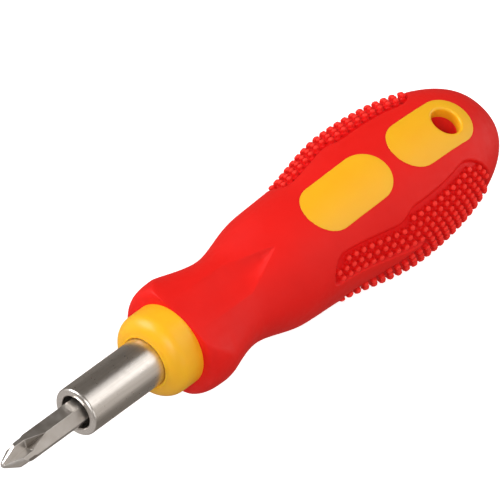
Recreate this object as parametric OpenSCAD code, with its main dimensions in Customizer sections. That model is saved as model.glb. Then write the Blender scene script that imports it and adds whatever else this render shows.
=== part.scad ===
// Pocket screwdriver with a reversible square bit, a plated holder sleeve and a two-shot moulded handle.
// The tool lies along X with its tip at -X, window faces up and down, on the plane z = 0.

/* [Bit] */
// Side of the square bar
bit_side = 3.5; // [3:0.1:4.5]
// Length of the bar from tip to tip
bit_len = 60; // [54:1:66]
// Length that stands out of the sleeve
bit_out = 20; // [16:0.5:24]
// Length of each flute, from the Phillips tip to its run-out
flute_len = 10; // [7:0.5:12]
// Thickness of a wing at the tip
wing_t = 1.05; // [0.8:0.05:1.4]
// Length of the tapered nose of the wings
nose_len = 2.8; // [2:0.1:4]
// Diameter of the blunt end of the Phillips tip
nose_d = 1.3; // [0.9:0.1:1.8]
// Length of the taper of the slotted end
blade_len = 9; // [6:0.5:12]
// Thickness of the slotted end
blade_t = 0.8; // [0.5:0.1:1.2]
// Turn of the bar about the axis, from a corner straight up
bit_clock = 10; // [0:1:90]

/* [Sleeve] */
// Outer diameter of the tube
sleeve_d = 10; // [9:0.1:11]
// Bore of the tube
sleeve_bore = 7.5; // [7:0.1:8]
// Length of tube in front of the handle
sleeve_out = 19.5; // [15:0.5:24]
// Round on the outer edge of the rim
rim_round = 0.7; // [0.3:0.1:0.9]
// Bevel on the inner edge of the rim
rim_bevel = 0.4; // [0.2:0.05:0.5]
// Width of the two slots that key the tube in the handle
key_w = 3; // [2:0.1:4]
// Length of the key slots
key_len = 4; // [3:0.5:5]

/* [Socket] */
// Depth of the socket behind the rim
socket_depth = 6; // [4:0.5:8]
// Length of the socket
socket_len = 20; // [18:0.5:22]
// Clearance on each side of the square bar
bit_gap = 0.05; // [0.03:0.01:0.1]
// Wire diameter of the retaining ring
ring_wire = 0.7; // [0.5:0.05:0.8]
// Opening of the split ring, in degrees
ring_split = 60; // [40:5:90]
// Length of the plug that closes the tube
plug_len = 6; // [5:0.5:8]
// Gap between the end of the bar and the plug
plug_gap = 0.2; // [0.1:0.05:0.5]

/* [Handle] */
// Length from the front of the collar to the tail
handle_len = 98.5; // [94:0.5:104]
// Diameter of the collar
collar_d = 17.2; // [16:0.1:18]
// Length of collar that shows in front of the grip
collar_len = 7; // [6:0.1:8]
// Round on the front edge of the collar
collar_round = 2.4; // [1:0.1:3]
// Diameter of the core inside the neck
core_neck_d = 13.4; // [12.6:0.1:14]
// Diameter of the core inside the belly
core_belly_d = 18.8; // [17:0.1:19.6]

/* [Grip] */
// Width across the two wings of the flange
flange_w = 23.5; // [22:0.1:25]
// Width that the saddle behind the wings would flare to at the collar
flare_w = 30; // [26:0.2:34]
// Height of the grip behind the collar
flange_h = 17.6; // [17:0.1:18.6]
// Length over which the front of the flange rounds up
flange_round = 6.5; // [4:0.1:8]
// Width at the neck
neck_w = 19; // [18:0.1:20.5]
// Height at the neck
neck_h = 17.4; // [17:0.1:19]
// Place of the neck behind the collar's front, as a share of the handle's length
neck_at = 0.2365; // [0.22:0.001:0.25]
// Width at the shoulder in front of the studs
shoulder_w = 23.9; // [22:0.1:26]
// Height at the shoulder
shoulder_h = 22.8; // [21:0.1:24]
// Place of the shoulder, as a share
shoulder_at = 0.3655; // [0.35:0.001:0.38]
// Width where the stud fields begin
waist_w = 24.8; // [24:0.1:27]
// Height where the stud fields begin
waist_h = 24.4; // [23:0.1:25]
// Place of the waist, as a share
waist_at = 0.467; // [0.45:0.001:0.48]
// Width at the belly, without studs
belly_w = 31; // [29:0.1:33]
// Height at the belly
belly_h = 25.6; // [24.8:0.1:27]
// Place of the belly, as a share
belly_at = 0.665; // [0.64:0.001:0.69]
// Depth of the V-shaped thumb scoop
scoop_depth = 0.8; // [0.2:0.1:1.2]
// Place of the scoop's apex, as a share
scoop_at = 0.335; // [0.31:0.001:0.35]
// Width of the scoop at the neck
scoop_w = 8; // [4:0.2:10]

/* [Windows] */
// Width of each window
window_w = 11; // [9.5:0.1:12]
// Length of each window, as a share of the handle's length
window_share = 0.2234; // [0.2:0.001:0.23]
// Corner radius of a window
window_r = 4.6; // [2:0.1:4.7]
// Bulge of each window's ends
window_bulge = 1.1; // [0:0.1:1.5]
// Place of the first window's middle, as a share
window1_at = 0.54; // [0.53:0.001:0.55]
// Place of the second window's middle, as a share
window2_at = 0.794; // [0.788:0.001:0.8]
// Diameter of the hang hole
hole_d = 6.2; // [5:0.1:6.6]
// Place of the hang hole, as a share
hole_at = 0.8447; // [0.84:0.001:0.85]
// Thickness of the yellow rim of the hang hole
lip_t = 1.8; // [1.4:0.1:2.4]
// Wall of the soft lining in the hang hole
lining_t = 1.4; // [1:0.1:1.6]
// Diameter of the runners that join the lining to the grip
runner_d = 4; // [3:0.1:5]

/* [Studs] */
// Depth of the stud fields below the skin
field_depth = 0.7; // [0.4:0.05:0.9]
// Height of a stud above the floor of its field
stud_h = 1.1; // [0.8:0.05:1.3]
// Distance between studs along a row
stud_pitch = 2; // [1.8:0.05:2.5]
// Place of the front end of the stud fields, as a share of the handle's length
field_at = 0.4162; // [0.41:0.001:0.43]
// Place of the rear end of the stud fields, as a share
field_end_at = 0.8833; // [0.86:0.001:0.89]
// Place where the fields widen, as a share
field_step_at = 0.6193; // [0.6:0.001:0.64]
// Height of the narrow front part of a field
field_front_h = 18.4; // [17:0.1:19]
// Height of the wide rear part of a field
field_rear_h = 20.8; // [19.4:0.1:21.4]
// Place of the point of the smooth leaf in each field, as a share
leaf_at = 0.6558; // [0.64:0.001:0.68]
// Height of the leaf's straight edge above the middle plane
leaf_z = 4.1; // [3:0.1:4.6]

/* [Hidden] */

// Facets of true rounds, and of rounds cut into the moulded skin
$fn = 64;
skin_fn = 36;
cavity_fn = 32;
small_fn = 24;
arc_step = 15;

// Reach of cutters past what they cut, and the least size that still counts
over = 1;
big = 40;
tiny = 0.01;

// Cavities in the moulded skin are cut with a flat on the middle planes, outside the true round
cavity_turn = 180 / cavity_fn;
grow = 1 / cos(cavity_turn);

// Places along the tool, from the front of the collar
rim_x = -sleeve_out;
tip_x = rim_x - bit_out;
bit_end_x = tip_x + bit_len;
plug_x = bit_end_x + plug_gap;
sleeve_end_x = plug_x + plug_len;
sleeve_len = sleeve_end_x - rim_x;
socket_x = rim_x + socket_depth;
ring_x = tip_x + bit_len / 2;
neck_x = neck_at * handle_len;
scoop_x = scoop_at * handle_len;
shoulder_x = shoulder_at * handle_len;
waist_x = waist_at * handle_len;
belly_x = belly_at * handle_len;
window_len = window_share * handle_len;
window1_x = window1_at * handle_len;
window2_x = window2_at * handle_len;
hole_x = hole_at * handle_len;
field_x = field_at * handle_len;
field_end_x = field_end_at * handle_len;
field_step_x = field_step_at * handle_len;
leaf_x = leaf_at * handle_len;

// The bar and its ring
bit_corner_d = bit_side * sqrt(2);
ring_in_d = bit_corner_d + 2 * bit_gap;
ring_out_d = ring_in_d + 2 * ring_wire;
nose_chamfer = 0.3;

// The core inside the grip: plastic behind the tube and before the windows, rubber behind the core, and
// the pads' roots
core_cover = 4;
core_lead = 2;
tail_wall = 6;
core_end_share = 0.8;
pad_root = 4;
core_flare_x = sleeve_end_x + core_cover;
core_belly_x = window1_x - window_len / 2 - core_lead;
core_taper_x = window2_x;
core_end_x = handle_len - tail_wall;
core_end_d = core_neck_d * core_end_share;

// Shape of the skin: exponent of its sections, and of its front and tail rounds
section_n = 2.2;
front_n = 4;
tail_w_power = 2;
tail_h_power = 2.6;
tail_w_n = 2.5;
tail_h_n = 2.4;
flange_back_x = collar_len + flange_round;

// Half widths and half heights that the skin passes through, as [place, half size]
skin_sides = [
  [collar_len, flare_w / 2],
  [flange_back_x, flange_w / 2],
  [neck_x, neck_w / 2],
  [shoulder_x, shoulder_w / 2],
  [waist_x, waist_w / 2],
  [belly_x, belly_w / 2]
];
skin_tops = [
  [collar_len, flange_h / 2],
  [flange_back_x, neck_h / 2],
  [neck_x, neck_h / 2],
  [shoulder_x, shoulder_h / 2],
  [waist_x, waist_h / 2],
  [belly_x, belly_h / 2]
];

// Steps of the skin along the flange's round, the body and the tail
front_steps = 6;
body_steps = 18;
tail_steps = 9;

// Slope of a smooth curve through points p at point i, flat at peaks, dips and ends
function rise(p, i) = (p[i + 1].y - p[i].y) / (p[i + 1].x - p[i].x);
function slope(p, i) =
  i == 0 || i == len(p) - 1 || rise(p, i - 1) * rise(p, i) <= 0 ? 0
  : 2 * rise(p, i - 1) * rise(p, i) / (rise(p, i - 1) + rise(p, i));

// Value of that curve at x
function piece(p, x, i = 0) = i == len(p) - 2 || x < p[i + 1].x ? i : piece(p, x, i + 1);
function hermite(a, b, ma, mb, w, u) =
  a * (1 + 2 * u) * (1 - u) * (1 - u) + b * u * u * (3 - 2 * u)
  + w * u * (1 - u) * (ma * (1 - u) - mb * u);
function curve_in(p, x, i) =
  let (w = p[i + 1].x - p[i].x)
  hermite(p[i].y, p[i + 1].y, slope(p, i), slope(p, i + 1), w, (x - p[i].x) / w);
function curve(p, x) = curve_in(p, x, piece(p, x));

// Share of the belly's size that is left in the rounded tail
function tail(x, power, n) =
  let (u = min(1, (x - belly_x) / (handle_len - belly_x)))
  pow(1 - pow(u, power), 1 / n);
function half_w(x) =
  x > belly_x ? belly_w / 2 * tail(x, tail_w_power, tail_w_n) : curve(skin_sides, x);
function half_h(x) =
  x > belly_x ? belly_h / 2 * tail(x, tail_h_power, tail_h_n) : curve(skin_tops, x);

// Radius of the oval section at angle a from straight up
function oval(x, a) =
  let (w = half_w(x), h = half_h(x))
  w < tiny ? 0
  : pow(pow(abs(sin(a)) / w, section_n) + pow(abs(cos(a)) / h, section_n), -1 / section_n);

// Limit that the round front of the flange sets to the skin
function flange_front(x) =
  let (u = (x - collar_len) / flange_round)
  u >= 1 ? big
  : flange_h / 2 + (flange_w - flange_h) / 2 * pow(1 - pow(1 - u, front_n), 1 / front_n);

// Hollow of the thumb scoop: widest at the neck, closing to a point at its apex
scoop_fade = 3;
function scoop_run(x) = max(0, min(1, (scoop_x - x) / (scoop_x - neck_x)));
function scoop_in(x) =
  let (u = max(0, min(1, (x - collar_len) / (neck_x - collar_len))))
  u * u * (3 - 2 * u);
function scoop(x, y) =
  let (half = max(tiny, scoop_w / 2 * scoop_run(x)), u = min(1, abs(y) / half))
  scoop_depth * (1 - u * u) * scoop_in(x) * min(1, scoop_fade * scoop_run(x));

function skin_r(x, a) =
  let (r = min(flange_front(x), oval(x, a)))
  r - scoop(x, r * sin(a));
function skin_point(x, a, inset = 0) =
  let (r = max(0, skin_r(x, a) - inset))
  [x, -r * sin(a), r * cos(a)];

// Places of the skin's rings
skin_places = concat(
  [for (i = [0:front_steps - 1]) collar_len + flange_round * (1 - cos(90 * i / front_steps))],
  [for (i = [0:body_steps - 1]) flange_back_x + (belly_x - flange_back_x) * i / body_steps],
  [for (i = [0:tail_steps - 1]) belly_x + (handle_len - belly_x) * sin(90 * i / tail_steps)]
);

// Outer skin of the handle as one closed form, or the same form set in by a depth
module skin(inset = 0) {
  rings = len(skin_places);
  points = concat(
    [for (x = skin_places) for (k = [0:skin_fn - 1]) skin_point(x, 360 * k / skin_fn, inset)],
    [[handle_len - inset, 0, 0]]
  );
  sides = [
    for (i = [0:rings - 2])
      for (k = [0:skin_fn - 1])
        let (n = (k + 1) % skin_fn)
          [i * skin_fn + k, (i + 1) * skin_fn + k, (i + 1) * skin_fn + n, i * skin_fn + n]
  ];
  tail_fan = [
    for (k = [0:skin_fn - 1])
      [(rings - 1) * skin_fn + k, rings * skin_fn, (rings - 1) * skin_fn + (k + 1) % skin_fn]
  ];
  front = [[for (k = [0:skin_fn - 1]) k]];
  polyhedron(points, concat(sides, tail_fan, front), convexity = 6);
}

// The leaf's lower edge climbs from below the middle plane to the leaf's point
leaf_drop = 2.2;
leaf_tip_t = 0.3;
leaf_lead = 4;
leaf_front_x = field_x + leaf_lead;
leaf_low_x = leaf_front_x + over;
leaf_points = [
  [field_x - over, leaf_z],
  [leaf_x, leaf_z - leaf_tip_t],
  [leaf_low_x, -leaf_drop],
  [leaf_front_x, -field_front_h],
  [field_x - over, -field_front_h]
];
field_round = 2;
field_end_round = 8.8;

// Outline of a stud field seen from the side, as [place along the tool, height]
module field_outline() {
  offset(r = field_round, $fn = small_fn)
    offset(delta = -field_round)
      difference() {
        union() {
          translate([field_x, -field_front_h / 2])
            square([field_step_x + over - field_x, field_front_h]);
          hull() {
            for (side = [-1, 1])
              translate([field_end_x - field_end_round, side * (field_rear_h / 2 - field_end_round)])
                circle(field_end_round, $fn = cavity_fn);
            translate([field_step_x, -field_rear_h / 2])
              square([over, field_rear_h]);
          }
        }
        polygon(leaf_points);
      }
}

// The field's outline as a block through the near side of the handle
module field_block() {
  rotate([90, 0, 0])
    linear_extrude(height = big)
      field_outline();
}

// Whether a stud at x and z stands inside the field, a margin away from its edges
margin_share = 0.4;
stud_margin = stud_pitch * margin_share;
function leaf_low(x) =
  -leaf_drop + (leaf_z + leaf_drop) * (x - leaf_low_x) / (leaf_x - leaf_low_x);
function in_leaf(x, z) =
  x < leaf_x + stud_margin && z < leaf_z + stud_margin
  && (z > leaf_low(x) - stud_margin || x < leaf_low_x + stud_margin);
function in_front(x, z) =
  x > field_x + stud_margin && x <= field_step_x && abs(z) < field_front_h / 2 - stud_margin;
function in_rear(x, z) =
  let (
    u = max(0, x - field_end_x + field_end_round),
    v = max(0, abs(z) - field_rear_h / 2 + field_end_round),
    s = max(0, field_step_x + field_round - x),
    t = max(0, abs(z) - field_rear_h / 2 + field_round)
  )
  x > field_step_x && norm([u, v]) < field_end_round - stud_margin
  && (t == 0 || norm([s, t]) < field_round - stud_margin);
function in_field(p) = (in_front(p.x, p.z) || in_rear(p.x, p.z)) && !in_leaf(p.x, p.z);

// Studs stand on hexagonal cells. A place among them is counted in half pitches along the tool from a
// little behind the field's front end, and in thirds of a row up from the middle plane.
row_pitch = stud_pitch * sin(60);
reach_share = 0.8;
row_reach = reach_share * field_rear_h;
cell_halves = 2 * ceil((field_end_x - field_x) / stud_pitch) + 2;
cell_thirds = 3 * ceil(row_reach / row_pitch) + 2;
cell_corners = [[0, 2], [1, 1], [1, -1], [0, -2], [-1, -1], [-1, 1]];
cell_sides = [[1, 3], [2, 0], [1, -3], [-1, -3], [-2, 0], [-1, 3]];
stud_lead = 0.1;
stud_valley = 0.12;
stud_root = 0.4;
function cell_point(c, inset) =
  let (x = field_x + stud_lead + stud_pitch * c.x / 2)
  skin_point(x, 90 - c.y * row_pitch / 3 / half_w(x) * 180 / PI, inset);
function cell_middle(c) = c.y % 3 == 0 && (c.x + c.y / 3) % 2 != 0;
function has_stud(c) = in_field(cell_point(c, 0));
function cell_at(c) = c.x * (2 * cell_thirds + 1) + c.y + cell_thirds;

// All studs of one field as one sheet: pointed hexagons that share their edges, rooted in the floor
module studs() {
  places = [for (h = [0:cell_halves]) for (t = [-cell_thirds:cell_thirds]) [h, t]];
  root = len(places);
  points = concat(
    [for (c = places) cell_point(c, field_depth - (cell_middle(c) ? stud_h : stud_valley))],
    [for (c = places) cell_point(c, field_depth + stud_root)]
  );
  studded = [for (c = places) if (cell_middle(c) && has_stud(c)) c];
  faces = [
    for (c = studded)
      for (k = [0:5])
        let (
          mid = cell_at(c),
          a = cell_at(c + cell_corners[k]),
          b = cell_at(c + cell_corners[(k + 1) % 6]),
          wall = has_stud(c + cell_sides[k]) ? [] : [[b, a, root + a, root + b]]
        )
        each concat([[a, b, mid], [root + b, root + a, root + mid]], wall)
  ];
  polyhedron(points, faces, convexity = 10);
}

// Both sides of the handle are alike when it is turned half a turn about its axis
module both_sides() {
  children();
  rotate([180, 0, 0])
    children();
}

// Puts the handle's frame, with its origin at the collar's front, on the ground plane
module placed() {
  translate([-(tip_x + handle_len) / 2, 0, belly_h / 2])
    children();
}

// Turns a form that stands on Z to run along the tool from x
module along(x) {
  translate([x, 0, 0])
    rotate([0, 90, 0])
      children();
}

// Round of a window's outline, with a flat and not a corner on the handle's middle line
module window_round(r) {
  rotate(cavity_turn)
    circle(r, $fn = cavity_fn);
}

// Outline of one window: a rectangle with round corners and bulged ends
module window_outline() {
  flat = window_len / 2 - window_bulge - window_r;
  hull() {
    for (x = [-1, 1])
      for (y = [-1, 1])
        translate([x * flat, y * (window_w / 2 - window_r)])
          window_round(window_r);
    for (x = [-1, 1])
      translate([x * (window_len / 2 - window_w / 2), 0])
        window_round(window_w / 2);
  }
}

module window_block(x) {
  translate([x, 0, pad_root])
    linear_extrude(height = big)
      window_outline();
}

// Round body of the core, from x to the tail
module core_body(x) {
  rotate_extrude()
    polygon([
      [0, x],
      [core_neck_d / 2, x],
      [core_neck_d / 2, core_flare_x],
      [core_belly_d / 2, core_belly_x],
      [core_belly_d / 2, core_taper_x],
      [core_end_d / 2, core_end_x],
      [0, core_end_x]
    ]);
}

// Room that the soft lining of the hang hole and its runners take out of the core
module lining_room() {
  lining_h = 2 * (half_h(hole_x) - lip_t);
  translate([hole_x, 0, -lining_h / 2])
    rotate([0, 0, cavity_turn])
      cylinder(h = lining_h, d = hole_d + 2 * lining_t);
  translate([hole_x, core_belly_d, 0])
    rotate([90, 0, 0])
      rotate([0, 0, cavity_turn])
        cylinder(h = 2 * core_belly_d, d = runner_d);
}

// Half-round front edge of the collar and its cylinder
module collar() {
  rotate_extrude()
    polygon(concat(
      [[0, 0], [collar_d / 2 - collar_round, 0]],
      [for (a = [arc_step:arc_step:90])
        [collar_d / 2 - collar_round * (1 - sin(a)), collar_round * (1 - cos(a))]],
      [[collar_d / 2, collar_len], [0, collar_len]]
    ));
}

// Slots at the tube's inner end that the core's plastic fills
module key_slots() {
  along(sleeve_end_x - key_len)
    translate([-key_w / 2, -sleeve_d, 0])
      cube([key_w, 2 * sleeve_d, key_len + over]);
}

module sleeve_room() {
  difference() {
    along(rim_x)
      cylinder(h = sleeve_len, d = sleeve_d);
    difference() {
      key_slots();
      along(rim_x)
        cylinder(h = sleeve_len + 2 * over, d = sleeve_bore);
    }
  }
}

// Square bar with a Phillips tip in front and a slotted tip behind
module bit_profile() {
  rotate_extrude()
    polygon([
      [0, 0],
      [nose_d / 2 - nose_chamfer, 0],
      [nose_d / 2, nose_chamfer],
      [bit_side / 2, nose_len],
      [bit_side, nose_len],
      [bit_side, bit_len],
      [0, bit_len]
    ]);
}

// One flute: a square groove that runs out at the bar's corner
module flute() {
  root = wing_t / sqrt(2);
  lean = atan((bit_corner_d / 2 - root) / flute_len);
  rotate([0, 0, 45])
    translate([root, 0, 0])
      rotate([0, lean, 0])
        rotate([0, 0, -45])
          translate([0, 0, -flute_len])
            cube([bit_side, bit_side, 3 * flute_len]);
}

// One cheek of the slotted end
module cheek() {
  rotate([90, 0, 0])
    linear_extrude(height = 2 * bit_side, center = true)
      polygon([
        [bit_side / 2, bit_len - blade_len],
        [blade_t / 2, bit_len],
        [blade_t / 2, bit_len + over],
        [bit_side, bit_len + over],
        [bit_side, bit_len - blade_len]
      ]);
}

module driver_bit() {
  color("silver")
    placed()
      along(tip_x)
        rotate([0, 0, 45 + bit_clock])
          difference() {
            intersection() {
              translate([-bit_side / 2, -bit_side / 2, 0])
                cube([bit_side, bit_side, bit_len]);
              bit_profile();
            }
            for (turn = [0:90:270])
              rotate([0, 0, turn])
                flute();
            for (turn = [0, 180])
              rotate([0, 0, turn])
                cheek();
          }
}

module holder_sleeve() {
  color("gainsboro")
    placed()
      difference() {
        along(rim_x)
          rotate_extrude()
            polygon(concat(
              [[sleeve_bore / 2, rim_bevel], [sleeve_bore / 2 + rim_bevel, 0]],
              [for (a = [0:arc_step:90])
                [sleeve_d / 2 - rim_round * (1 - sin(a)), rim_round * (1 - cos(a))]],
              [[sleeve_d / 2, sleeve_len], [sleeve_bore / 2, sleeve_len]]
            ));
        key_slots();
      }
}

module drive_socket() {
  hole = bit_side + 2 * bit_gap;
  color("gray")
    placed()
      difference() {
        along(socket_x)
          cylinder(h = socket_len, d = sleeve_bore);
        along(socket_x - over)
          rotate([0, 0, 45 + bit_clock])
            translate([-hole / 2, -hole / 2, 0])
              cube([hole, hole, socket_len + 2 * over]);
        along(ring_x - ring_wire / 2)
          cylinder(h = ring_wire, d = ring_out_d);
      }
}

module retaining_ring() {
  color("dimgray")
    placed()
      along(ring_x)
        rotate([0, 0, ring_split / 2])
          rotate_extrude(angle = 360 - ring_split)
            translate([(ring_in_d + ring_wire) / 2, 0])
              circle(d = ring_wire, $fn = small_fn);
}

module stop_plug() {
  color("gray")
    placed()
      along(plug_x)
        cylinder(h = plug_len, d = sleeve_bore);
}

// Yellow core: collar, body, four window pads, the hang hole and the seat of the sleeve
module handle_core() {
  color("orange")
    placed()
      difference() {
        union() {
          along(0)
            collar();
          resize([0, 0, 0]) {
            along(0)
              core_body(collar_len - over);
            intersection() {
              skin();
              both_sides() {
                window_block(window1_x);
                window_block(window2_x);
              }
            }
          }
        }
        sleeve_room();
        lining_room();
        translate([hole_x, 0, -big])
          cylinder(h = 2 * big, d = hole_d);
      }
}

// What the core and its windows take out of the grip
module core_room() {
  difference() {
    union() {
      scale([1, grow, grow])
        along(0)
          rotate([0, 0, cavity_turn])
            core_body(collar_len - over, $fn = cavity_fn);
      both_sides() {
        window_block(window1_x);
        window_block(window2_x);
      }
    }
    lining_room($fn = cavity_fn);
  }
}

// Red grip: winged flange, thumb scoops, stud fields, windows and the lining of the hang hole
module grip_overmould() {
  color("red")
    placed()
      resize([0, 0, 0])
        difference() {
          union() {
            difference() {
              skin();
              difference() {
                both_sides()
                  field_block();
                skin(field_depth);
              }
            }
            both_sides()
              studs();
          }
          core_room();
          translate([hole_x, 0, -big])
            rotate([0, 0, cavity_turn])
              cylinder(h = 2 * big, d = grow * hole_d, $fn = cavity_fn);
        }
}

driver_bit();
holder_sleeve();
drive_socket();
retaining_ring();
stop_plug();
handle_core();
grip_overmould();
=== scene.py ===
"""Dresses the pocket screwdriver's frame: soft studded grip, hard core, plated sleeve and ground bit.

Shapes are worked out in millimetres in the handle's own frame, as in the part's source: x runs from the
collar's front to the tail, y and z are measured from the tool's axis, and an angle is counted from
straight up towards -y. Both sides of the handle are alike after half a turn about the axis.
"""
import math

import bpy
import numpy as np
from mathutils import Matrix, Vector


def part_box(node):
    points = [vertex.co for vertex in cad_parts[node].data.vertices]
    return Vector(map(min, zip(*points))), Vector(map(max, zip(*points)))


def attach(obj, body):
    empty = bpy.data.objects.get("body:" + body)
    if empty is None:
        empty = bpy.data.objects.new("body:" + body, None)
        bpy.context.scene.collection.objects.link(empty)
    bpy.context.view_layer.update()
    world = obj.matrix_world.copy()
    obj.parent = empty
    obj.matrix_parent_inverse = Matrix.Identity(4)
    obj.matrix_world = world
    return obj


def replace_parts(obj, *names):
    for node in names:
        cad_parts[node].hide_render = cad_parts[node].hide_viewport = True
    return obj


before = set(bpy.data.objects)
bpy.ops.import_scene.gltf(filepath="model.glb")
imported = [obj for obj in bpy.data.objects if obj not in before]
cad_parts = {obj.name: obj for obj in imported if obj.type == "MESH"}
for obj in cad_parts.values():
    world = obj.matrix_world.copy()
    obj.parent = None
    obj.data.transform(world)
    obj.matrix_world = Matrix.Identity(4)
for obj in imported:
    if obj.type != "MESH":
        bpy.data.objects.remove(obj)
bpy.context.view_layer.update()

MM = 0.001
TINY = 0.01
core_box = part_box("handle_core")
grip_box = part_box("grip_overmould")
sleeve_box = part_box("holder_sleeve")
bit_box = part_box("driver_bit")
socket_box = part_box("drive_socket")
ring_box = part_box("retaining_ring")

# The handle's frame within the row frame, and the ends of the metal pieces in it
START_X = core_box[0].x / MM
AXIS_Z = (grip_box[0].z + grip_box[1].z) / 2 / MM
HANDLE_LEN = grip_box[1].x / MM - START_X
RIM_X = sleeve_box[0].x / MM - START_X
SLEEVE_END_X = sleeve_box[1].x / MM - START_X
TIP_X = bit_box[0].x / MM - START_X
BIT_LEN = (bit_box[1].x - bit_box[0].x) / MM
SOCKET_X = [corner.x / MM - START_X for corner in socket_box]
RING_X = (ring_box[0].x + ring_box[1].x) / 2 / MM - START_X

# Collar and sleeve
COLLAR_R = 8.6
COLLAR_LEN = 7.0
COLLAR_ROUND = 3.2
COLLAR_LIP = 0.4
COLLAR_SEAT = 1
SLEEVE_R = 5.0
SLEEVE_BORE_R = 3.75
MOUTH_R = 3.45
MOUTH_LEN = 5.5
RIM_ROUND = 0.7
RIM_BEVEL = 0.3
RIM_RUN = 0.2
RIM_EDGE = (0.015, 0.05)
MOUTH_EDGE = (0.02, 0.04)

# Bit: a hexagonal bar with a cross tip in front and a slotted tip behind
BIT_FLATS = 4.7
BIT_CORNER_R = BIT_FLATS / 2 / math.cos(math.radians(30))
BIT_CLOCK = math.radians(10)
BIT_GAP = 0.05
NOSE_R = 0.65
NOSE_CHAMFER = 0.3
NOSE_SLOPE = math.tan(math.radians(27))
WING_T = 0.65
FLUTE_LEN = 10.5
FLUTE_SLOPE = math.tan(math.radians(2))
RUNOUT_SLOPE = math.tan(math.radians(25))
RUNOUT_X = (
    (FLUTE_LEN * RUNOUT_SLOPE + WING_T / math.sqrt(2) - BIT_CORNER_R) / (RUNOUT_SLOPE - FLUTE_SLOPE)
)
# Depth and fade of the painted shade on the flutes' run-outs
RUNOUT_CUT = 0.12
RUNOUT_FADE = 0.3
BLADE_LEN = 9.0
BLADE_T = 0.8
RING_WIRE = 0.45
RING_SPLIT = math.radians(60)

# Skin of the grip: half sizes at the flange, neck, shoulder, waist and belly
FLANGE_LEN = 6.5
FLANGE_W = 11.75
FLANGE_H = 8.8
FLANGE_BACK_X = COLLAR_LEN + FLANGE_LEN
NECK_X = 0.2365 * HANDLE_LEN
SHOULDER_X = 0.3655 * HANDLE_LEN
WAIST_X = 0.467 * HANDLE_LEN
BELLY_X = 0.665 * HANDLE_LEN
SKIN_X = [COLLAR_LEN, FLANGE_BACK_X, NECK_X, SHOULDER_X, WAIST_X, BELLY_X]
SKIN_W = [15.0, FLANGE_W, 9.5, 11.95, 12.4, 15.5]
SKIN_H = [FLANGE_H, 8.7, 8.7, 11.4, 12.2, 12.8]
TAIL_W = (2, 2.5)
TAIL_H = (2.6, 2.4)
SECTION_N = 2.2
FRONT_N = 4
CREASE = 0.4
SKIN_TUCK = 0.3
SCOOP_X = 0.335 * HANDLE_LEN
SCOOP_W = 4.0
SCOOP_DEPTH = 0.8
SCOOP_FADE = 3

# Windows and hang hole
WINDOW_W = 5.5
WINDOW_LEN = 0.1117 * HANDLE_LEN
WINDOW1_X = 0.54 * HANDLE_LEN
WINDOW2_X = 0.794 * HANDLE_LEN
SEAT_DEPTH = 0.9
SEAT_EDGE = 0.4
SEAT_RIM = 0.9
PAD_ROUND = 0.06
PAD_RIM = 0.3
PAD_T = 0.8
HOLE_X = 0.8447 * HANDLE_LEN
HOLE_R = 3.1
HOLE_ROUND = 0.6
LIP_T = 3.2

# Stud fields
FIELD_X = 0.4162 * HANDLE_LEN
FIELD_END_X = 0.8833 * HANDLE_LEN
FIELD_STEP_X = 0.6193 * HANDLE_LEN
FIELD_FRONT_H = 9.2
FIELD_REAR_H = 10.4
FIELD_STEP_RUN = 2
FIELD_STEP_ROUND = 8
FIELD_END_ROUND = 8.8
FIELD_ROUND = 2.0
FIELD_NOSE_ROUND = 3.6
FIELD_DEPTH = 0.7
FIELD_EDGE = 0.36
LEAF_X = 0.6558 * HANDLE_LEN
LEAF_Z = 4.1
LEAF_TIP_T = 0.3
LEAF_DROP = 2.2
LEAF_LEAD = 5.0
LEAF_SLANT = 0.4
LEAF_ROUND = 1.2
LEAF_LOW_ROUND = 1.6
STUD_PITCH = 2.0
STUD_LEAD = 0.1
STUD_MARGIN = 0.8
STUD_H = 1.09
STUD_ROWS = 10
STUD_STEPS = 48

# Profile of a peg, as (radius, height): its foot and shank, and the round edge and crown of its top
PEG_SHANK = [(0.86, -0.1), (0.74, 0.03), (0.63, 0.14), (0.58, 0.34), (0.56, 0.62)]
PEG_EDGE_R = 0.4
PEG_FLAT_R = 0.16
PEG_EDGE_TURNS = np.radians([15, 35, 55, 72])
PEG_CROWN_R = 0.14
PEG_CROWN_DROP = 0.003

# Points round the meshes, and rings along them
SKIN_COLUMNS = 384
SKIN_STEP = 0.24
FRONT_RINGS = 44
TAIL_RINGS = 210
LINING_COLUMNS = 96
LINING_RINGS = 25
PEG_COLUMNS = 14
PAD_COLUMNS = 256
PAD_RINGS = 34
COLLAR_COLUMNS = 144
SLEEVE_COLUMNS = 160
BIT_COLUMNS = 360
BIT_STEP = 0.09
SOCKET_COLUMNS = 240
RING_SECTIONS = 72
WIRE_COLUMNS = 12


# Numbers

def smoothstep(u):
    """0 below 0, 1 above 1 and a smooth rise between."""
    u = np.clip(u, 0, 1)
    return u * u * (3 - 2 * u)


def smooth_min(a, b, width):
    """The lower of a and b, rounded over where they are within width of each other."""
    near = np.maximum(width - np.abs(a - b), 0) / width
    return np.minimum(a, b) - near * near * width / 4


def curve(x, places, values):
    """Smooth curve through the points, flat at its ends, peaks and dips."""
    p = np.array(places)
    v = np.array(values)
    rise = np.diff(v) / np.diff(p)
    slope = np.zeros(len(p))
    for i in range(1, len(p) - 1):
        if rise[i - 1] * rise[i] > 0:
            slope[i] = 2 * rise[i - 1] * rise[i] / (rise[i - 1] + rise[i])
    i = np.clip(np.searchsorted(p, x, side="right") - 1, 0, len(p) - 2)
    w = p[i + 1] - p[i]
    u = (x - p[i]) / w
    ends = v[i] * (1 + 2 * u) * (1 - u) ** 2 + v[i + 1] * u * u * (3 - 2 * u)
    return ends + w * u * (1 - u) * (slope[i] * (1 - u) - slope[i + 1] * u)


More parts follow.
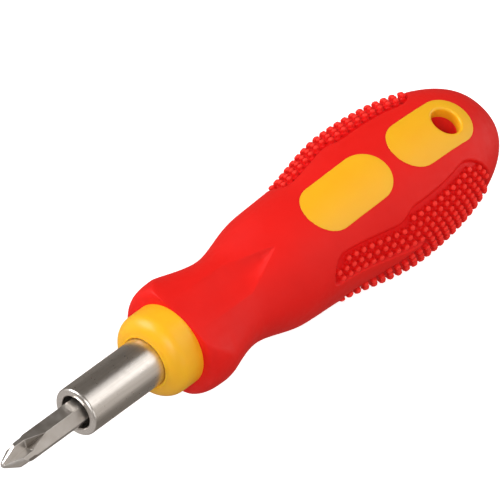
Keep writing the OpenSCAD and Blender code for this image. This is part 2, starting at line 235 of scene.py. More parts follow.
def rounded(corners, steps=8):
    """Closed outline through corners (x, y, radius), each turned with an arc of its radius."""
    outline = []
    for i, (x, y, radius) in enumerate(corners):
        here = Vector((x, y))
        back = (Vector(corners[i - 1][:2]) - here).normalized()
        ahead = (Vector(corners[(i + 1) % len(corners)][:2]) - here).normalized()
        half = back.angle(ahead) / 2
        if radius == 0 or half > math.radians(89):
            outline.append(here)
            continue
        centre = here + (back + ahead).normalized() * (radius / math.sin(half))
        start = here + back * (radius / math.tan(half)) - centre
        end = here + ahead * (radius / math.tan(half)) - centre
        for k in range(steps + 1):
            outline.append(centre + start.slerp(end, k / steps) * radius)
    return np.array([(p.x, p.y) for p in outline])


def outline_distance(outline, x, y):
    """Distance of each point to a closed outline, below 0 inside it."""
    nearest = np.full(x.shape, np.inf)
    inside = np.zeros(x.shape, bool)
    for (ax, ay), (bx, by) in zip(outline, np.roll(outline, -1, axis=0)):
        dx = bx - ax
        dy = by - ay
        span = dx * dx + dy * dy
        if span == 0:
            continue
        u = np.clip(((x - ax) * dx + (y - ay) * dy) / span, 0, 1)
        nearest = np.minimum(nearest, np.hypot(x - ax - u * dx, y - ay - u * dy))
        if dy != 0:
            inside ^= ((ay > y) != (by > y)) & (x < ax + (y - ay) * dx / dy)
    return np.where(inside, -nearest, nearest)


# Skin of the handle

def tail(x, power, n):
    """Share of the belly's size that is left at x in the rounded tail."""
    u = np.clip((x - BELLY_X) / (HANDLE_LEN - BELLY_X), 0, 1)
    return (1 - u ** power) ** (1 / n)


def half_w(x):
    """Half the skin's width at x."""
    return np.where(x > BELLY_X, SKIN_W[-1] * tail(x, *TAIL_W), curve(x, SKIN_X, SKIN_W))


def half_h(x):
    """Half the skin's height at x."""
    return np.where(x > BELLY_X, SKIN_H[-1] * tail(x, *TAIL_H), curve(x, SKIN_X, SKIN_H))


def flange_front(x):
    """Radius that the round front of the flange leaves, and no limit behind the neck."""
    u = np.clip((x - COLLAR_LEN) / FLANGE_LEN, 0, 1)
    front = FLANGE_H + (FLANGE_W - FLANGE_H) * (1 - (1 - u) ** FRONT_N) ** (1 / FRONT_N)
    return np.where(x > NECK_X, 2 * FLANGE_W, front)


def scoop(x, y):
    """Depth of the V-shaped thumb scoop: widest at the neck and closing to a point."""
    run = np.clip((SCOOP_X - x) / (SCOOP_X - NECK_X), 0, 1)
    u = np.minimum(1, np.abs(y) / np.maximum(TINY, SCOOP_W * run))
    lead_in = smoothstep((x - COLLAR_LEN) / (NECK_X - COLLAR_LEN))
    return SCOOP_DEPTH * (1 - u * u) * lead_in * np.minimum(1, SCOOP_FADE * run)


def skin_r(x, a):
    """Radius of the skin at x and angle a."""
    w = np.maximum(half_w(x), TINY)
    h = np.maximum(half_h(x), TINY)
    sides = (np.abs(np.sin(a)) / w) ** SECTION_N + (np.abs(np.cos(a)) / h) ** SECTION_N
    oval = sides ** (-1 / SECTION_N)
    r = smooth_min(flange_front(x), oval, CREASE)
    return r - scoop(x, r * np.sin(a))


def skin_point(x, a, inset=0.0):
    """Point of the skin at x and angle a, sunk by an inset."""
    r = skin_r(x, a) - inset
    return np.stack([x + 0 * a, -r * np.sin(a), r * np.cos(a)], axis=-1)


def skin_top(x, y):
    """Height of the skin over a point of the windows' plan."""
    return half_h(x) * (1 - (np.abs(y) / half_w(x)) ** SECTION_N) ** (1 / SECTION_N)


# Meshes

class Shape:
    """Points in the handle's frame and faces, gathered piece by piece."""

    def __init__(self):
        self.points = []
        self.faces = []
        self.count = 0

    def add(self, points, faces):
        points = np.asarray(points, float).reshape(-1, 3)
        self.faces += [tuple(int(i) + self.count for i in face) for face in faces]
        self.points.append(points)
        self.count += len(points)

    def add_turned(self, points, faces):
        """Adds a form and its copy on the other side of the handle."""
        self.add(points, faces)
        self.add(np.asarray(points, float).reshape(-1, 3) * (1, -1, -1), faces)

    def build(self, name, material, body):
        """The finished object, in metres in the row frame, on its body."""
        points = (np.concatenate(self.points) + (START_X, 0, AXIS_Z)) * MM
        mesh = bpy.data.meshes.new(name)
        mesh.from_pydata(points.tolist(), [], self.faces)
        mesh.shade_smooth()
        mesh.materials.append(material)
        obj = bpy.data.objects.new(name, mesh)
        bpy.context.scene.collection.objects.link(obj)
        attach(obj, body)
        return obj


def full_turn(columns):
    """Angles of the columns round a closed form."""
    return np.linspace(0, 2 * math.pi, columns, endpoint=False)


def grid_faces(rows, columns):
    """Quads of a grid of points, row after row, closed round its columns."""
    faces = []
    for i in range(rows - 1):
        for k in range(columns):
            n = (k + 1) % columns
            here, ahead = i * columns, (i + 1) * columns
            faces.append((here + k, here + n, ahead + n, ahead + k))
    return faces


def lathe(profile, columns):
    """Points and faces of a profile of (x, radius) turned about the axis."""
    points = [(x, -r * math.sin(a), r * math.cos(a)) for x, r in profile for a in full_turn(columns)]
    return points, grid_faces(len(profile), columns)


def arc(x, r, radius, start, end, steps):
    """Arc about (x, r) in a profile, its angles counted from +x towards +r in degrees."""
    turns = np.radians(np.linspace(start, end, steps + 1))
    return [(x + radius * math.cos(t), r + radius * math.sin(t)) for t in turns]


# Grip

def field_outline():
    """Outline of a stud field seen from the side, with its smooth leaf left out."""
    return rounded([
        (FIELD_X, LEAF_Z, LEAF_ROUND),
        (FIELD_X, FIELD_FRONT_H, FIELD_NOSE_ROUND),
        (FIELD_STEP_X - FIELD_STEP_RUN, FIELD_FRONT_H, FIELD_STEP_ROUND),
        (FIELD_STEP_X + FIELD_STEP_RUN, FIELD_REAR_H, FIELD_STEP_ROUND),
        (FIELD_END_X, FIELD_REAR_H, FIELD_END_ROUND),
        (FIELD_END_X, -FIELD_REAR_H, FIELD_END_ROUND),
        (FIELD_STEP_X + FIELD_STEP_RUN, -FIELD_REAR_H, FIELD_STEP_ROUND),
        (FIELD_STEP_X - FIELD_STEP_RUN, -FIELD_FRONT_H, FIELD_STEP_ROUND),
        (FIELD_X + LEAF_LEAD - LEAF_SLANT, -FIELD_FRONT_H, FIELD_ROUND),
        (FIELD_X + LEAF_LEAD, -LEAF_DROP, LEAF_LOW_ROUND),
        (LEAF_X, LEAF_Z - LEAF_TIP_T, 0),
    ])


def window_distance(x, y):
    """Distance to the nearer window's outline in plan, below 0 inside it."""
    straight = WINDOW_LEN - WINDOW_W
    middle = np.minimum(np.abs(x - WINDOW1_X), np.abs(x - WINDOW2_X))
    return np.hypot(np.maximum(middle - straight, 0), y) - WINDOW_W


def ring_places():
    """Places of the skin's rings, close together on the flange's front and the tail."""
    rise = np.linspace(0, math.pi / 2, FRONT_RINGS, endpoint=False)
    front = COLLAR_LEN + FLANGE_LEN * (1 - np.cos(rise))
    middle = np.arange(FLANGE_BACK_X, BELLY_X, SKIN_STEP)
    close = np.linspace(0, math.radians(89.6), TAIL_RINGS)
    end = BELLY_X + (HANDLE_LEN - BELLY_X) * np.sin(close)
    return np.concatenate([front, middle, end])


def mark(obj, name, values):
    """Keeps a value from 0 to 1 at each point, for the material to read."""
    layer = obj.data.attributes.new(name, "FLOAT", "POINT")
    layer.data.foreach_set("value", values.astype(np.float32))


def grip_skin(material):
    """Red skin with its recessed fields, the sunk seats of the windows and the hang hole's lining."""
    columns = SKIN_COLUMNS
    x = ring_places()
    px, pa = np.meshgrid(x, full_turn(columns), indexing="ij")
    points = skin_point(px, pa)
    up = np.where(points[..., 1] < 0, points[..., 2], -points[..., 2])
    field = outline_distance(field_outline(), px, up)
    recess = FIELD_DEPTH * smoothstep(0.5 - field / FIELD_EDGE)
    window = window_distance(px, points[..., 1])
    seat = SEAT_DEPTH * smoothstep(-window / SEAT_EDGE)
    points = skin_point(px, pa, np.maximum(recess, seat))
    sunk = (window < -SEAT_RIM).ravel()
    faces = [face for face in grid_faces(len(x), columns) if not all(sunk[i] for i in face)]
    last = (len(x) - 1) * columns
    tip = len(x) * columns
    faces += [(last + k, last + (k + 1) % columns, tip) for k in range(columns)]
    shape = Shape()
    shape.add(np.concatenate([points.reshape(-1, 3), [(HANDLE_LEN, 0, 0)]]), faces)
    shape.add(*lathe([(COLLAR_LEN, COLLAR_R - SKIN_TUCK), (COLLAR_LEN, FLANGE_H)], columns))
    lining_z = float(half_h(np.array(HOLE_X))) - LIP_T
    lining = [
        (HOLE_X + HOLE_R * math.cos(t), HOLE_R * math.sin(t), z)
        for z in np.linspace(lining_z, -lining_z, LINING_RINGS) for t in full_turn(LINING_COLUMNS)
    ]
    shape.add(lining, grid_faces(LINING_RINGS, LINING_COLUMNS))
    skin = shape.build("grip_skin", material, "handle")
    # Painted shade: how far each point sinks into a field, for the material to darken the floors
    floor = np.zeros(shape.count)
    floor[:recess.size] = (recess / FIELD_DEPTH).ravel()
    mark(skin, "floor", floor)
    # Painted light: the hang hole's lining is marked for the material to brighten
    painted_light = np.zeros(shape.count)
    painted_light[-len(lining):] = 1
    mark(skin, "painted_light", painted_light)
    return skin


def in_field(x, z):
    """Whether a stud at x and z stands inside the field, a margin away from its edges."""
    low_x = FIELD_X + LEAF_LEAD
    low_z = -LEAF_DROP + (LEAF_Z + LEAF_DROP) * (x - low_x) / (LEAF_X - low_x)
    in_leaf = (
        x < LEAF_X + STUD_MARGIN and z < LEAF_Z + STUD_MARGIN
        and (z > low_z - STUD_MARGIN or x < low_x + STUD_MARGIN)
    )
    if in_leaf:
        return False
    if x <= FIELD_STEP_X:
        nose = math.hypot(
            max(0, FIELD_X + FIELD_NOSE_ROUND - x), max(0, z - FIELD_FRONT_H + FIELD_NOSE_ROUND)
        )
        return nose < FIELD_NOSE_ROUND - STUD_MARGIN and abs(z) < FIELD_FRONT_H - STUD_MARGIN
    end = math.hypot(
        max(0, x - FIELD_END_X + FIELD_END_ROUND), max(0, abs(z) - FIELD_REAR_H + FIELD_END_ROUND)
    )
    beside = max(0, abs(z) - FIELD_REAR_H + FIELD_ROUND)
    step = math.hypot(max(0, FIELD_STEP_X + FIELD_ROUND - x), beside)
    return end < FIELD_END_ROUND - STUD_MARGIN and (beside == 0 or step < FIELD_ROUND - STUD_MARGIN)


def stud_places():
    """(x, angle) of every stud on the near side, in rows of a hexagonal lattice round the skin."""
    row_pitch = STUD_PITCH * math.sin(math.radians(60))
    places = []
    for row in range(-STUD_ROWS, STUD_ROWS + 1):
        for step in range(STUD_STEPS):
            if (step + row) % 2 == 0:
                continue
            x = FIELD_X + STUD_LEAD + STUD_PITCH * step / 2
            a = math.pi / 2 - row * row_pitch / float(half_w(np.array(x)))
            z = float(skin_point(np.array(x), np.array(a))[2])
            if in_field(x, z):
                places.append((x, a))
    return np.array(places)


def stud_frame(x, a):
    """Rotation that stands +z of a stud on the skin at x and a."""
    along = skin_point(x + TINY, a) - skin_point(x - TINY, a)
    across = skin_point(x, a + TINY) - skin_point(x, a - TINY)
    out = np.cross(across, along)
    out /= np.linalg.norm(out)
    along /= np.linalg.norm(along)
    return np.stack([along, np.cross(out, along), out], axis=1)


def grip_studs(material):
    """Short round pegs with domed tops, standing on the floors of both fields."""
    columns = PEG_COLUMNS
    edge_z = STUD_H - PEG_EDGE_R
    edge = [
        (PEG_FLAT_R + PEG_EDGE_R * math.cos(t), edge_z + PEG_EDGE_R * math.sin(t))
        for t in PEG_EDGE_TURNS
    ]
    profile = PEG_SHANK + edge + [(PEG_CROWN_R, STUD_H - PEG_CROWN_DROP)]
    peg = [(r * math.cos(t), r * math.sin(t), h) for r, h in profile for t in full_turn(columns)]
    peg = np.array(peg + [(0, 0, STUD_H)])
    faces = grid_faces(len(profile), columns)
    last = (len(profile) - 1) * columns
    faces += [(last + k, last + (k + 1) % columns, len(peg) - 1) for k in range(columns)]
    shape = Shape()
    for x, a in stud_places():
        foot = skin_point(x, a, FIELD_DEPTH)
        shape.add_turned(foot + peg @ stud_frame(x, a).T, faces)
    studs = shape.build("grip_studs", material, "handle")
    count = shape.count // len(peg)
    # Painted shade: the pegs' feet are marked for the material to darken
    mark(studs, "floor", np.tile(1 - smoothstep(peg[:, 2] / FIELD_DEPTH), count))
    # Painted highlight: the peg tops are marked for the material to brighten
    peg_top_highlight = smoothstep((peg[:, 2] - 0.5 * STUD_H) / (0.4 * STUD_H))
    mark(studs, "painted_light", np.tile(peg_top_highlight, count))
    return studs


# Core

def window_reach(window_x, from_x, turns):
    """How far the window's outline is from (from_x, 0) along each turn, found by halving."""
    near = np.zeros(len(turns))
    far = np.full(len(turns), 3 * WINDOW_LEN)
    straight = WINDOW_LEN - WINDOW_W
    for _ in range(40):
        reach = (near + far) / 2
        x = from_x + reach * np.cos(turns) - window_x
        y = reach * np.sin(turns)
        outside = np.hypot(np.maximum(np.abs(x) - straight, 0), y) > WINDOW_W
        far = np.where(outside, reach, far)
        near = np.where(outside, near, reach)
    return near


def window_pad(window_x, from_x, inner_r):
    """Pad flush with the skin, as rings from a point or a hole's edge out to the window's outline."""
    columns = PAD_COLUMNS
    turns = full_turn(columns)
    reach = window_reach(window_x, from_x, turns)
    rings = []
    near_hole = [0, 0.01, 0.05, 0.12, 0.22, 0.34, 0.47, HOLE_ROUND] if inner_r else [0.05]
    for d in near_hole:
        rings.append(inner_r + np.full(columns, d))
    for f in np.linspace(0, 1, PAD_RINGS)[1:-1]:
        rings.append(rings[len(near_hole) - 1] * (1 - f) + (reach - PAD_RIM) * f)
    for d in (PAD_RIM, 0.16, PAD_ROUND, 0.03, 0.01, 0):
        rings.append(reach - d)
    rings = np.array(rings)
    x = from_x + rings * np.cos(turns)
    y = rings * np.sin(turns)
    z = skin_top(x, y)
    outer = np.clip(PAD_ROUND - (reach - rings), 0, PAD_ROUND)
    z -= PAD_ROUND - np.sqrt(PAD_ROUND ** 2 - outer ** 2)
    if inner_r:
        inner = np.clip(HOLE_ROUND - (rings - inner_r), 0, HOLE_ROUND)
        z -= HOLE_ROUND - np.sqrt(HOLE_ROUND ** 2 - inner ** 2)
    wall = np.stack([x[-1], y[-1], z[-1] - PAD_T], axis=-1)
    rows = np.concatenate([np.stack([x, y, z], axis=-1), wall[None]])
    if inner_r:
        lip = float(half_h(np.array(HOLE_X))) - LIP_T
        down = [np.stack([x[0], y[0], lip + (z[0] - lip) * f], axis=-1) for f in (0, 0.3, 0.6, 0.9)]
        rows = np.concatenate([np.array(down), rows])
    faces = [face[::-1] for face in grid_faces(len(rows), columns)]
    if not inner_r:
        faces.append(tuple(range(columns)))
    return rows, faces


def core_shell(material):
    """Yellow collar, the four window pads and the hang hole's two rims."""
    shape = Shape()
    flat_r = COLLAR_R - COLLAR_ROUND
    profile = [(COLLAR_SEAT, SLEEVE_R)]
    profile += arc(COLLAR_LIP, SLEEVE_R + COLLAR_LIP, COLLAR_LIP, 270, 180, 8)
    profile += arc(COLLAR_ROUND, flat_r, COLLAR_ROUND, 180, 90, 24)
    profile += [(COLLAR_LEN * f, COLLAR_R) for f in (0.5, 0.65, 0.8, 0.95, 1, 1.1)]
    shape.add(*lathe(profile, COLLAR_COLUMNS))
    shape.add_turned(*window_pad(WINDOW1_X, WINDOW1_X, 0))
    shape.add_turned(*window_pad(WINDOW2_X, HOLE_X, HOLE_R))
    return shape.build("core_shell", material, "handle")


# Metal

def sleeve_tube(material):
    """Plated tube with a bevelled bore, a flat rim and a round outer edge."""
    rim_flat = MOUTH_R + RIM_BEVEL
    mouth_end = RIM_X + MOUTH_LEN
    profile = [(SLEEVE_END_X, SLEEVE_R)]
    profile += [(x, SLEEVE_R) for x in np.linspace(SLEEVE_END_X, RIM_X + RIM_ROUND + RIM_RUN, 24)[1:]]
    profile += arc(RIM_X + RIM_ROUND, SLEEVE_R - RIM_ROUND, RIM_ROUND, 90, 180, 12)
    profile += [(RIM_X, rim_flat + RIM_EDGE[1]), (RIM_X + RIM_EDGE[0], rim_flat)]
    profile += [(RIM_X + RIM_BEVEL - MOUTH_EDGE[0], MOUTH_R + MOUTH_EDGE[0])]
    profile += [(RIM_X + RIM_BEVEL + MOUTH_EDGE[1], MOUTH_R)]
    profile += [(x, MOUTH_R) for x in np.linspace(RIM_X + 1, mouth_end, 8)]
    profile += [(x, SLEEVE_BORE_R) for x in np.linspace(mouth_end, SLEEVE_END_X, 16)]
    profile += [(SLEEVE_END_X, SLEEVE_R)]
    shape = Shape()
    points, faces = lathe(profile, SLEEVE_COLUMNS)
    shape.add(points, [face[::-1] for face in faces])
    return shape.build("sleeve_tube", material, "handle")


def hexagon_r(turn, flats):
    """Radius of a hexagon with a corner at turn 0."""
    return flats / 2 / np.cos(np.mod(turn, math.pi / 3) - math.pi / 6)


def bit_r(x, turn):
    """Radius of the bit at x from its tip: what the bar, nose, flutes and cheeks leave."""
    bar = hexagon_r(turn, BIT_FLATS)
    behind = x - NOSE_CHAMFER
    nose = NOSE_R + np.where(behind < 0, behind, behind * NOSE_SLOPE)
    ramp = BIT_CORNER_R + (x - FLUTE_LEN) * RUNOUT_SLOPE
    root = np.maximum(WING_T / math.sqrt(2) + x * FLUTE_SLOPE, ramp)
    off = np.mod(turn + math.pi / 4, math.pi / 2) - math.pi / 4
    flute = root / np.maximum(np.cos(off) - np.abs(np.sin(off)), TINY)
    half_t = BLADE_T / 2 + (BIT_LEN - x) * (BIT_CORNER_R - BLADE_T / 2) / BLADE_LEN
    cheek = half_t / np.maximum(np.abs(np.cos(turn)), TINY)
    return np.minimum(np.minimum(bar, nose), np.minimum(flute, cheek))


def ground_bit(material):
    """Reversible bit, as rings from its cross tip to its slotted tip, closed at both ends."""
    columns = BIT_COLUMNS
    x = np.concatenate([
        [0, 0.15], np.arange(NOSE_CHAMFER, FLUTE_LEN + 0.3, BIT_STEP),
        np.linspace(FLUTE_LEN + 0.4, BIT_LEN - BLADE_LEN, 24, endpoint=False),
        np.linspace(BIT_LEN - BLADE_LEN, BIT_LEN, 50),
    ])
    px, pt = np.meshgrid(x, full_turn(columns), indexing="ij")
    r = bit_r(px, pt)
    a = pt + BIT_CLOCK
    rows = np.stack([TIP_X + px, -r * np.sin(a), r * np.cos(a)], axis=-1).reshape(-1, 3)
    ends = [(TIP_X, 0, 0), (TIP_X + BIT_LEN, 0, 0)]
    tip = len(rows)
    last = (len(x) - 1) * columns
    faces = grid_faces(len(x), columns)
    for k in range(columns):
        n = (k + 1) % columns
        faces += [(tip, n, k), (tip + 1, last + k, last + n)]
    shape = Shape()
    shape.add(np.concatenate([rows, ends]), faces)
    bit = shape.build("ground_bit", material, "bit")
    # Painted shade: the flutes' run-outs are marked for the material to darken
    cut = (hexagon_r(pt, BIT_FLATS) - r) * (px < FLUTE_LEN)
    runout_shade = smoothstep(cut / RUNOUT_CUT) * smoothstep((px - RUNOUT_X) / RUNOUT_FADE)
    mark(bit, "runout_shade", np.concatenate([runout_shade.ravel(), [0, 0]]))
    return bit


def socket_block(material):
    """Block in the sleeve with the bar's hexagonal hole and a groove for the ring."""
    columns = SOCKET_COLUMNS
    turn = full_turn(columns)
    outer = np.full(columns, SLEEVE_BORE_R)
    hole = hexagon_r(turn, BIT_FLATS + 2 * BIT_GAP)
    groove = np.full(columns, BIT_CORNER_R + BIT_GAP + RING_WIRE)
    front, rear = SOCKET_X
    groove_x = [RING_X - RING_WIRE / 2, RING_X + RING_WIRE / 2]
    rows = [
        (front, outer), (rear, outer), (rear, hole), (groove_x[1], hole), (groove_x[1], groove),
        (groove_x[0], groove), (groove_x[0], hole), (front, hole), (front, outer),
    ]
    a = turn + BIT_CLOCK
    points = [
        np.stack([np.full(columns, x), -r * np.sin(a), r * np.cos(a)], axis=-1) for x, r in rows
    ]
    shape = Shape()
    shape.add(np.array(points), grid_faces(len(rows), columns))
    block = shape.build("socket_block", material, "handle")
    block.data.set_sharp_from_angle(angle=math.radians(20))
    return block


def spring_ring(material):
    """Split ring of round wire in the socket's groove."""
    steps = RING_SECTIONS
    wire = WIRE_COLUMNS
    mean_r = BIT_CORNER_R + BIT_GAP + RING_WIRE / 2
    turn = np.linspace(RING_SPLIT / 2, 2 * math.pi - RING_SPLIT / 2, steps)[:, None]
    around = full_turn(wire)[None, :]
    r = mean_r + RING_WIRE / 2 * np.cos(around)
    x = RING_X + RING_WIRE / 2 * np.sin(around)
    points = np.stack([x + 0 * turn, -r * np.sin(turn), r * np.cos(turn)], axis=-1)
    faces = grid_faces(steps, wire)
    faces += [tuple(range(wire))[::-1], tuple(range((steps - 1) * wire, steps * wire))]
    shape = Shape()
    shape.add(points, faces)
    return shape.build("spring_ring", material, "handle")


# Materials

def blend(tree, factor, a, b):
    """Colour between a and b, each a colour or another node's output."""
    node = tree.nodes.new("ShaderNodeMix")
    node.data_type = "RGBA"
    tree.links.new(factor, node.inputs["Factor"])
    for socket, value in ((node.inputs[6], a), (node.inputs[7], b)):
        if isinstance(value, tuple):
            socket.default_value = (*value, 1)
        else:
            tree.links.new(value, socket)
    return node.outputs[2]


class Nodes:
    """A material's node tree, with its shader and short ways to add and join nodes."""

    def __init__(self, name):
        self.material = bpy.data.materials.new(name)
        self.material.use_nodes = True
        self.tree = self.material.node_tree
        self.shader = self.tree.nodes["Principled BSDF"]
        self.place = self.add("ShaderNodeTexCoord").outputs["Object"]

    def add(self, kind, **settings):
        node = self.tree.nodes.new(kind)
        for key, value in settings.items():
            setattr(node, key, value)
        return node

    def join(self, output, target):
        self.tree.links.new(output, target)

    def set(self, **values):
        for key, value in values.items():
            self.shader.inputs[key.replace("_", " ")].default_value = value

    def noise(self, scale, detail=3, stretch=None):
        """Noise with a grain of 1 / scale metres, drawn out along an axis by its stretch."""
        node = self.add("ShaderNodeTexNoise")
        node.inputs["Scale"].default_value = scale
        node.inputs["Detail"].default_value = detail
        source = self.place
        if stretch:
            mapping = self.add("ShaderNodeMapping")
            mapping.inputs["Scale"].default_value = stretch
            self.join(source, mapping.inputs["Vector"])
            source = mapping.outputs["Vector"]
        self.join(source, node.inputs["Vector"])
        return node.outputs["Fac"]

    def spread(self, source, low, high):
        """A noise's middle range brought to between low and high."""
        node = self.add("ShaderNodeMapRange")
        node.inputs["From Min"].default_value = 0.3
        node.inputs["From Max"].default_value = 0.7
        node.inputs["To Min"].default_value = low
        node.inputs["To Max"].default_value = high
        self.join(source, node.inputs["Value"])
        return node.outputs["Result"]

    def mix(self, factor, a, b):
        return blend(self.tree, factor, a, b)

    def attribute(self, name):
        """A value that is kept at each point of the mesh."""
        return self.add("ShaderNodeAttribute", attribute_name=name).outputs["Fac"]

    def bump(self, height, distance, strength):
        """Normal of a relief that is as deep as the distance, in metres."""
        node = self.add("ShaderNodeBump")
        node.inputs["Strength"].default_value = strength
        node.inputs["Distance"].default_value = distance
        self.join(height, node.inputs["Height"])
        return node.outputs["Normal"]


def grip_rubber():
    """Matt soft rubber with fine moulded grain; painted shade deepens the stud fields' floors and the pegs'
    feet, and painted light brightens the peg tops and the hang hole's lining.
    """
    n = Nodes("grip_rubber")
    n.set(Specular_IOR_Level=0.18, Subsurface_Weight=0.08, Subsurface_Scale=MM)
    n.shader.inputs["Subsurface Radius"].default_value = (1.2, 0.25, 0.2)
    # Painted shade: the fields' floors and the pegs' feet are deepened to a darker red
    floor = n.attribute("floor")
    tint = n.mix(n.spread(n.noise(90), 0, 1), (0.78, 0.01, 0.007), (0.84, 0.013, 0.009))
    # Painted light: the peg tops and the hole's lining are brightened
    painted_light = n.attribute("painted_light")
    tint = n.mix(painted_light, n.mix(floor, tint, (0.72, 0.0015, 0.0015)), (1.0, 0.036, 0.026))
    n.join(tint, n.shader.inputs["Base Color"])
    n.join(n.spread(n.noise(700), 0.46, 0.6), n.shader.inputs["Roughness"])
    n.join(n.bump(n.noise(5000, 2), 0.012 * MM, 0.5), n.shader.inputs["Normal"])
    return n.material


def core_plastic():
    """Satin plastic with a little light in its depth, and faint flow marks."""
    n = Nodes("core_plastic")
    n.set(Specular_IOR_Level=0.4, Subsurface_Weight=0.18, Subsurface_Scale=MM)
    n.shader.inputs["Subsurface Radius"].default_value = (2.4, 0.9, 0.2)
    tint = n.mix(n.spread(n.noise(60), 0, 1), (0.98, 0.465, 0.01), (1.0, 0.51, 0.014))
    n.join(tint, n.shader.inputs["Base Color"])
    n.join(n.spread(n.noise(400, 4), 0.34, 0.44), n.shader.inputs["Roughness"])
    n.join(n.bump(n.noise(2500, 2), 0.006 * MM, 0.4), n.shader.inputs["Normal"])
    return n.material


def plated_sleeve():
    """Satin nickel plate over a drawn tube, with faint lines along it."""
    n = Nodes("plated_sleeve")
    n.set(Metallic=1.0)
    lines = n.noise(2600, 3, (0.03, 1, 1))
    tint = n.mix(n.spread(lines, 0, 1), (0.66, 0.62, 0.58), (0.76, 0.72, 0.68))
    n.join(tint, n.shader.inputs["Base Color"])
    n.join(n.spread(n.noise(1500, 4), 0.27, 0.34), n.shader.inputs["Roughness"])
    n.join(n.bump(lines, 0.004 * MM, 0.35), n.shader.inputs["Normal"])
    return n.material


def bit_steel():
    """Ground steel: grinding lines round the bar, faint patches and painted shade on the run-outs of the
    flutes.
    """
    n = Nodes("bit_steel")
    n.set(Metallic=1.0)
    lines = n.noise(3800, 3, (1, 0.05, 0.05))
    tint = n.mix(n.spread(n.noise(450, 4), 0, 1), (0.6, 0.565, 0.53), (0.68, 0.65, 0.62))
    # Painted shade: the flutes' run-outs are darkened in the base colour
    runout_shade = n.attribute("runout_shade")
    n.join(n.mix(runout_shade, tint, (0.25, 0.225, 0.2)), n.shader.inputs["Base Color"])
    n.join(n.spread(n.noise(900, 4), 0.3, 0.43), n.shader.inputs["Roughness"])
    n.join(n.bump(lines, 0.003 * MM, 0.3), n.shader.inputs["Normal"])
    return n.material


def inner_steel():
    """Plain dark steel with a machined grain, for what shows down the bore."""
    n = Nodes("inner_steel")
    n.set(Metallic=1.0)
    tint = n.mix(n.noise(800, 4), (0.16, 0.15, 0.14), (0.3, 0.29, 0.28))
    n.join(tint, n.shader.inputs["Base Color"])
    n.join(n.spread(n.noise(1800, 3), 0.4, 0.6), n.shader.inputs["Roughness"])
    return n.material


def pale_floor():
    """White floor that keeps only a faint shadow."""
    n = Nodes("pale_floor")
    n.set(Roughness=0.9, Specular_IOR_Level=0.0, Emission_Strength=0.7)
    n.shader.inputs["Emission Color"].default_value = (1, 1, 1, 1)
    tint = n.mix(n.noise(3), (0.84, 0.84, 0.84), (0.88, 0.88, 0.88))
    n.join(tint, n.shader.inputs["Base Color"])
    return n.material


# Pieces

rubber = grip_rubber()
skin = grip_skin(rubber)
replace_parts(skin, "grip_overmould")
grip_studs(rubber)
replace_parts(core_shell(core_plastic()), "handle_core")
tube = sleeve_tube(plated_sleeve())
tube.modifiers.new("flat faces", "WEIGHTED_NORMAL")
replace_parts(tube, "holder_sleeve")
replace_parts(ground_bit(bit_steel()), "driver_bit")
dark = inner_steel()
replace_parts(socket_block(dark), "drive_socket")
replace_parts(spring_ring(dark), "retaining_ring")
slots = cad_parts["stop_plug"].data.materials
slots.clear()
slots.append(dark)


# Stage, lights and camera

def floor_plane(material):
    """Wide floor just under the tool, which it neither lights nor shows in its gloss."""
    mesh = bpy.data.meshes.new("floor")
    size = 6.0
    drop = 0.2 * MM
    corners = [(-size, -size), (size, -size), (size, size), (-size, size)]
    mesh.from_pydata([(x, y, -drop) for x, y in corners], [], [(0, 1, 2, 3)])
    mesh.materials.append(material)
    obj = bpy.data.objects.new("floor", mesh)
    bpy.context.scene.collection.objects.link(obj)
    obj.visible_diffuse = False
    obj.visible_glossy = False


def area_light(name, towards, distance, size, power):
    """Soft box of a size in metres and a power in watts, shining at the tool from a direction."""
    light = bpy.data.lights.new(name, "AREA")
    light.shape = "RECTANGLE"
    light.size, light.size_y = size
    light.energy = power
    obj = bpy.data.objects.new(name, light)
    direction = Vector(towards).normalized()
    obj.location = direction * distance
    obj.rotation_mode = "QUATERNION"
    obj.rotation_quaternion = direction.to_track_quat("Z", "Y")
    obj.visible_camera = False
    bpy.context.scene.collection.objects.link(obj)


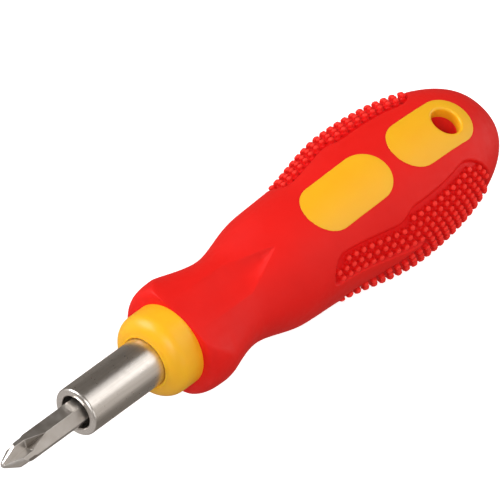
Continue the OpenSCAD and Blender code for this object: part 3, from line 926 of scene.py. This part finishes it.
def studio_world():
    """Grey surroundings, lighter behind the near side and in front below, with a white backdrop."""
    world = bpy.data.worlds.new("studio")
    bpy.context.scene.world = world
    world.use_nodes = True
    tree = world.node_tree
    way = tree.nodes.new("ShaderNodeSeparateXYZ")
    tree.links.new(tree.nodes.new("ShaderNodeTexCoord").outputs["Generated"], way.inputs["Vector"])

    def fade(axis, start, end):
        node = tree.nodes.new("ShaderNodeMapRange")
        node.inputs["From Min"].default_value = start
        node.inputs["From Max"].default_value = end
        tree.links.new(way.outputs[axis], node.inputs["Value"])
        return node.outputs["Result"]

    sides = blend(tree, fade("X", 0.45, -0.1), (0.6, 0.56, 0.52), (0.25, 0.23, 0.21))
    sides = blend(tree, fade("Y", -0.35, 0.15), sides, (0.13, 0.115, 0.1))
    ground = blend(tree, fade("X", 0.3, -0.2), (0.2, 0.18, 0.16), (0.55, 0.52, 0.5))
    colour = blend(tree, fade("Z", 0.05, -0.2), sides, ground)
    seen = tree.nodes.new("ShaderNodeLightPath").outputs["Is Camera Ray"]
    tree.links.new(blend(tree, seen, colour, (1, 1, 1)), tree.nodes["Background"].inputs["Color"])


def photo_camera():
    """Camera along the photograph's view: the tool rises to the right with its tip nearer."""
    away = Vector((-0.5876, -0.2401, 0.7727)).normalized()
    up = away.cross(Vector((0.6551, -0.7017, 0.2802))).normalized()
    right = up.cross(away)
    target = Vector((3.65, 4.4, 16.95)) * MM
    field = 95.0 * MM
    data = bpy.data.cameras.new("camera")
    data.lens = 500
    data.sensor_width = 36
    camera = bpy.data.objects.new("camera", data)
    distance = field * data.lens / data.sensor_width
    turn = Matrix((right, up, away)).transposed().to_4x4()
    camera.matrix_world = Matrix.Translation(target + away * distance) @ turn
    data.clip_end = 10
    bpy.context.scene.collection.objects.link(camera)
    bpy.context.scene.camera = camera


floor_plane(pale_floor())
area_light("key", (-0.4, 0.85, 0.42), 0.9, (0.5, 0.5), 6.9)
area_light("top", (-0.52, -0.2, 0.8), 0.9, (0.3, 0.3), 2.2)
area_light("overhead", (0.6, -0.19, 0.77), 0.8, (0.66, 0.4), 1.05)
area_light("front", (-0.75, -0.3, 0.55), 0.9, (0.6, 0.6), 1.6)
area_light("side", (-0.1, -0.85, 0.4), 0.9, (0.5, 0.4), 0.7)
area_light("back", (0.95, -0.3, 0.2), 0.9, (0.5, 0.4), 1.4)
studio_world()
photo_camera()
bpy.context.scene.view_settings.view_transform = "Standard"
